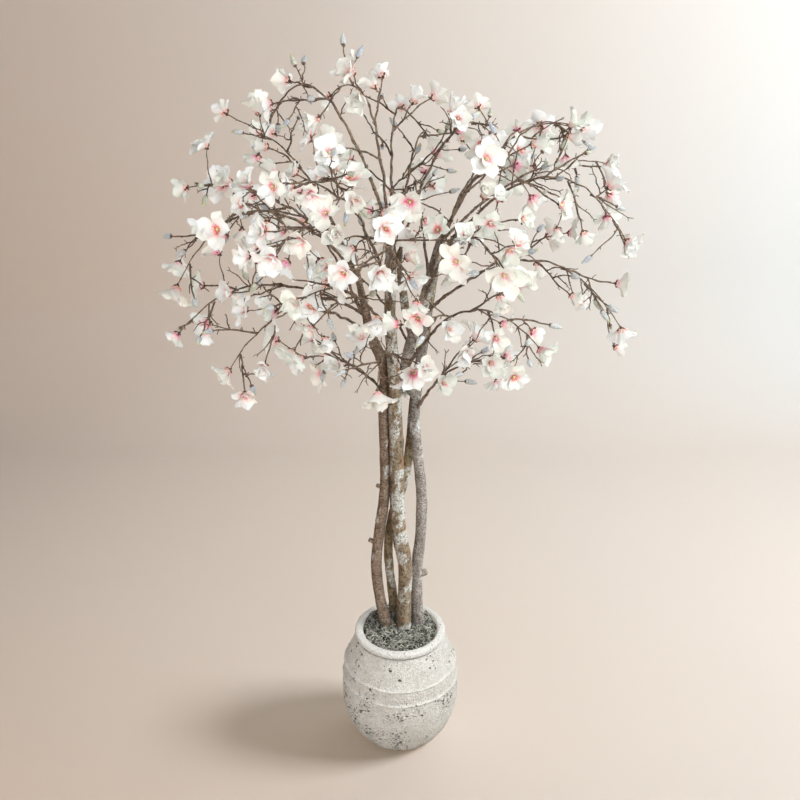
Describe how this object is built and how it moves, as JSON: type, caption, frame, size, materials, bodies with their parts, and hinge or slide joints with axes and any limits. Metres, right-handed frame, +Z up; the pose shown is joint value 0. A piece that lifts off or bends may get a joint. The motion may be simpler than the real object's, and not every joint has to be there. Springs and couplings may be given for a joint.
{
  "type": "potted artificial magnolia tree",
  "caption": "Artificial magnolia tree: bare natural stems in a rough banded pot, arching twigs with open cream and pink blossom and furry buds.",
  "frame": {"origin": "centre of the pot's flat underside, on the floor", "axes": "+Z up along the stems, -Y towards the side seen first"},
  "size_m": [1.2494, 1.1797, 2.1217],
  "materials": {
    "stoneware": "rough off-white cast stone, pitted with small dark pores, more of them low down",
    "cement": "plain cement filling, hidden under the moss",
    "moss": "curly grey-green dried moss",
    "lichen": "wiry pale grey-green lichen tufts",
    "brown_bark": "natural tan-brown bark, finely cracked",
    "lichen_bark": "natural bark with white and grey-green lichen patches and orange-brown spots",
    "grey_bark": "smooth grey natural bark",
    "dark_bark": "dark brown natural bark",
    "twig_bark": "dark brown moulded twig with knots and flecks",
    "blossom": "soft cream petals flushed pink at the heart, furry grey-blue buds"
  },
  "bodies": {
    "root": {"pot": "stoneware", "pot_fill": "cement", "moss_bed": "moss", "left_stem": "brown_bark", "centre_stem": "lichen_bark", "right_stem": "grey_bark", "back_stem": "dark_bark", "right_fork": "grey_bark", "centre_fork": "lichen_bark", "top_lichen": "lichen", "fork_lichen": "lichen", "bough_left_top": "twig_bark", "bough_left_arch": "twig_bark", "bough_left_out": "twig_bark", "bough_left_low": "twig_bark", "bough_top_left": "twig_bark", "bough_top_right": "twig_bark", "bough_right_top": "twig_bark", "bough_right_high": "twig_bark", "bough_right_back": "twig_bark", "bough_right_out": "twig_bark", "bough_right_low": "twig_bark", "bough_front_left_high": "twig_bark", "bough_front_left": "twig_bark", "bough_front_left_low": "twig_bark", "bough_front": "twig_bark", "bough_front_right": "twig_bark", "bough_back_left": "twig_bark", "bough_back": "twig_bark", "bough_back_right": "twig_bark", "bough_back_low_left": "twig_bark", "mass_left_top": "blossom", "mass_left_arch": "blossom", "mass_left_out": "blossom", "mass_left_low": "blossom", "mass_top_left": "blossom", "mass_top_right": "blossom", "mass_right_top": "blossom", "mass_right_high": "blossom", "mass_right_back": "blossom", "mass_right_out": "blossom", "mass_right_low": "blossom", "mass_front_left_high": "blossom", "mass_front_left": "blossom", "mass_front_left_low": "blossom", "mass_front": "blossom", "mass_front_right": "blossom", "mass_back_left": "blossom", "mass_back": "blossom", "mass_back_right": "blossom", "mass_back_low_left": "blossom", "mass_left_up": "blossom", "mass_left_under": "blossom", "mass_top_peak": "blossom", "mass_top_back": "blossom", "mass_right_arch": "blossom", "mass_right_under": "blossom", "mass_front_low": "blossom", "mass_middle_back": "blossom"}
  },
  "joints": []
}
